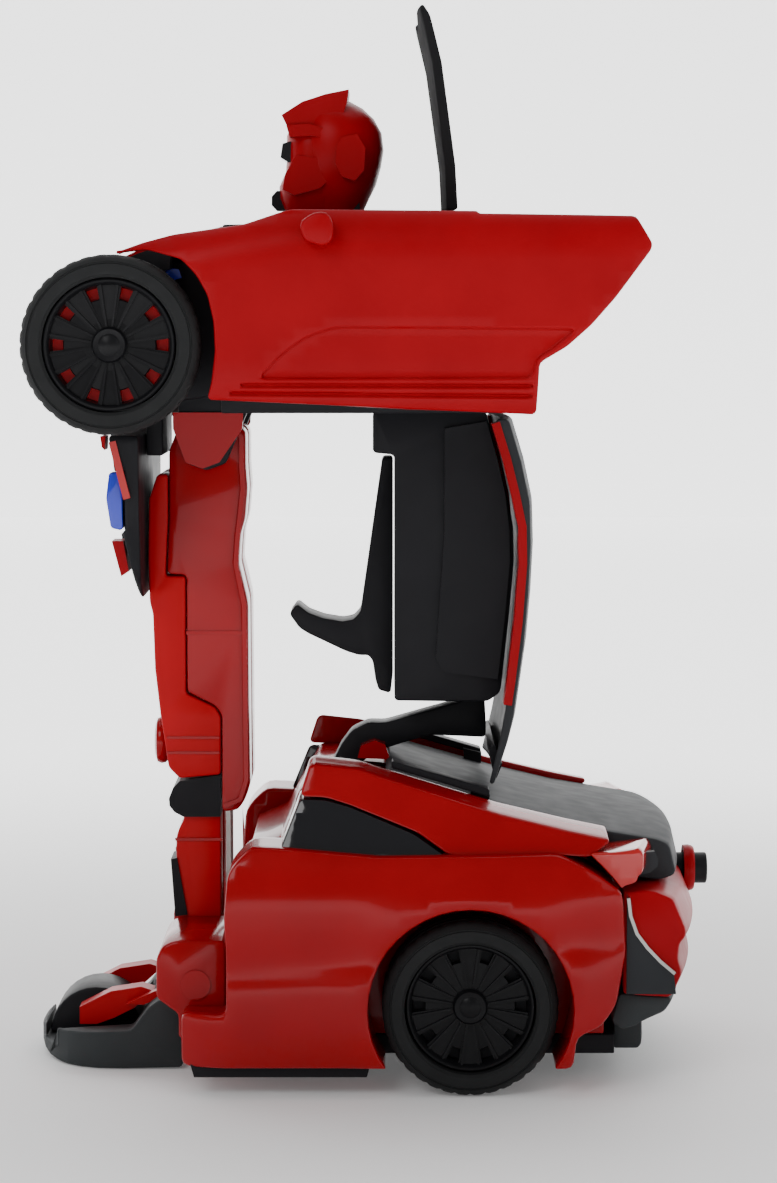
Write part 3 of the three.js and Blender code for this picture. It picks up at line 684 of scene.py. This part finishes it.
finish_piece("hood", bm, RED, "torso")
for k, z in enumerate((149, 153, 157, 161, 165)):
    x = -75.4 - 0.16 * (z - 155)
    bar = [(x - 1.5, z + 0.8), (x + 1.5, z + 0.8), (x + 1.5, z - 0.8), (x - 1.3, z - 0.8)]
    middle(f"grille_bar_{k}", bar, 24, GREY, "nose", 0.3)
for side, sign in SIDES:
    intake = [(-78.2, 152.6), (-75, 152.6), (-73.4, 144), (-75.6, 142.6)]
    detail(f"intake_blade_{side}", intake, 27, 38, sign, RED, "nose", 0.5)
for side, sign in SIDES:
    for k, z in enumerate((209.4, 205.6, 201.8)):
        slat = [(-90.3, z + 1.1), (-88.2, z + 1.1), (-88.2, z - 1.1), (-89.7, z - 1.1)]
        detail(f"hood_slat_{side}_{k}", slat, 4, 33 - 2 * k, sign, BLACK, "torso", 0.4)

# ---- screws ----
SCREW_R = 1.5
CROSS_LONG = 1.05
CROSS_THIN = 0.22
CROSS_HEIGHT = 0.12


def screw(name, x, z, y, sign, body):
    """A round screw head with a raised cross."""
    bm = bmesh.new()
    disc(bm, SCREW_R, y - 0.8, y, x, z, sign, 24)
    for half_x, half_z in ((CROSS_LONG, CROSS_THIN), (CROSS_THIN, CROSS_LONG)):
        corners = [(x - half_x, z - half_z), (x + half_x, z - half_z), (x + half_x, z + half_z),
                   (x - half_x, z + half_z)]
        merge_in(bm, prism(corners, sign * y, sign * (y + CROSS_HEIGHT)))
    finish_piece(name, bm, STEEL, body)


for side, sign in SIDES:
    screw(f"arm_hinge_screw_front_{side}", -42, 196, 51.2, sign, "torso")
    screw(f"arm_hinge_screw_rear_{side}", 28, 196, 51.2, sign, "torso")
    hip_cover = [
        (-61.4, 184), (-57.8, 174.4), (-53, 172.6), (-48.2, 174.4), (-41.6, 184), (-41.4, 188.6),
        (-61.4, 188.6),
    ]
    detail(f"hip_cover_{side}", hip_cover, 26.8, 28, sign, DEEP_RED, "torso", 0.5)

# ---- camera, lights and floor ----
CAMERA_DISTANCE = 955
CAMERA_HEIGHT = 215
CAMERA_TILT = 4.78
LENS = 99
SENSOR_WIDTH = 36
CLIP_END = 50
AIM_HEIGHT = 0.15
WORLD_STRENGTH = 0.38

camera_data = bpy.data.cameras.new("camera")
camera_data.lens = LENS
camera_data.sensor_width = SENSOR_WIDTH
camera_data.clip_end = CLIP_END
camera = bpy.data.objects.new("camera", camera_data)
camera.location = place(0, -CAMERA_DISTANCE, CAMERA_HEIGHT)
camera.rotation_euler = (math.radians(90 - CAMERA_TILT), 0, 0)
bpy.context.scene.collection.objects.link(camera)
bpy.context.scene.camera = camera


def softbox(name, location, size, power):
    data = bpy.data.lights.new(name, "AREA")
    data.shape = "RECTANGLE"
    data.size, data.size_y = size
    data.energy = power
    light = bpy.data.objects.new(name, data)
    light.location = location
    aim = Vector((0, 0, AIM_HEIGHT)) - Vector(location)
    light.rotation_euler = aim.to_track_quat("-Z", "Y").to_euler()
    bpy.context.scene.collection.objects.link(light)


softbox("key", (-0.6, -1.2, 1.0), (0.6, 0.6), 6)
softbox("fill", (1.1, -0.8, 0.7), (0.8, 0.8), 2)
softbox("top", (0.0, 0.1, 1.5), (1.2, 0.8), 5.5)
softbox("back", (0.3, 1.2, 0.9), (1.2, 0.8), 1.5)

world = bpy.data.worlds.new("studio")
world.use_nodes = True
world.node_tree.nodes["Background"].inputs["Color"].default_value = (1, 1, 1, 1)
world.node_tree.nodes["Background"].inputs["Strength"].default_value = WORLD_STRENGTH
bpy.context.scene.world = world



def pale_material(name):
    material = bpy.data.materials.new(name)
    material.use_nodes = True
    shader = material.node_tree.nodes["Principled BSDF"]
    shader.inputs["Base Color"].default_value = (0.9, 0.9, 0.9, 1)
    shader.inputs["Emission Color"].default_value = (1, 1, 1, 1)
    return material, shader


def flat_sheet(name, corners, material):
    # A single flat face, with one material.
    mesh = bpy.data.meshes.new(name)
    mesh.from_pydata(corners, [], [(0, 1, 2, 3)])
    mesh.materials.append(material)
    sheet = bpy.data.objects.new(name, mesh)
    bpy.context.scene.collection.objects.link(sheet)
    return sheet


BACKDROP_GLOW = 1.5
# Painted shade: the floor's glow close to the part, kept low so the floor is darker round it.
PAINTED_SHADE_GLOW = 0.1
GLOW_STARTS = 0.12
GLOW_FULL = 0.7
FLOOR_HALF = 12.0
BACKDROP_Y = 2.6
BACKDROP_TOP = 4.0

# The floor glows more with distance from the part, so that it meets the backdrop in one tone; its low
# glow near the part is painted shade round the part.
floor_material, floor_shader = pale_material("floor_pale")
floor_shader.inputs["Roughness"].default_value = 0.7
floor_nodes, floor_links = floor_material.node_tree.nodes, floor_material.node_tree.links
floor_coords = floor_nodes.new("ShaderNodeTexCoord")
floor_reach = floor_nodes.new("ShaderNodeVectorMath")
floor_reach.operation = "LENGTH"
floor_glow = floor_nodes.new("ShaderNodeMapRange")
floor_glow.interpolation_type = "SMOOTHSTEP"
floor_glow.inputs["From Min"].default_value = GLOW_STARTS
floor_glow.inputs["From Max"].default_value = GLOW_FULL
floor_glow.inputs["To Min"].default_value = PAINTED_SHADE_GLOW
floor_glow.inputs["To Max"].default_value = BACKDROP_GLOW
floor_links.new(floor_coords.outputs["Object"], floor_reach.inputs[0])
floor_links.new(floor_reach.outputs["Value"], floor_glow.inputs["Value"])
floor_links.new(floor_glow.outputs["Result"], floor_shader.inputs["Emission Strength"])
floor_corners = [(-FLOOR_HALF, -FLOOR_HALF, 0), (FLOOR_HALF, -FLOOR_HALF, 0),
                 (FLOOR_HALF, FLOOR_HALF, 0), (-FLOOR_HALF, FLOOR_HALF, 0)]
floor = flat_sheet("floor", floor_corners, floor_material)

backdrop_material, backdrop_shader = pale_material("backdrop_white")
backdrop_shader.inputs["Emission Strength"].default_value = BACKDROP_GLOW
backdrop_corners = [(-FLOOR_HALF, BACKDROP_Y, 0), (FLOOR_HALF, BACKDROP_Y, 0),
                    (FLOOR_HALF, BACKDROP_Y, BACKDROP_TOP),
                    (-FLOOR_HALF, BACKDROP_Y, BACKDROP_TOP)]
backdrop = flat_sheet("backdrop", backdrop_corners, backdrop_material)
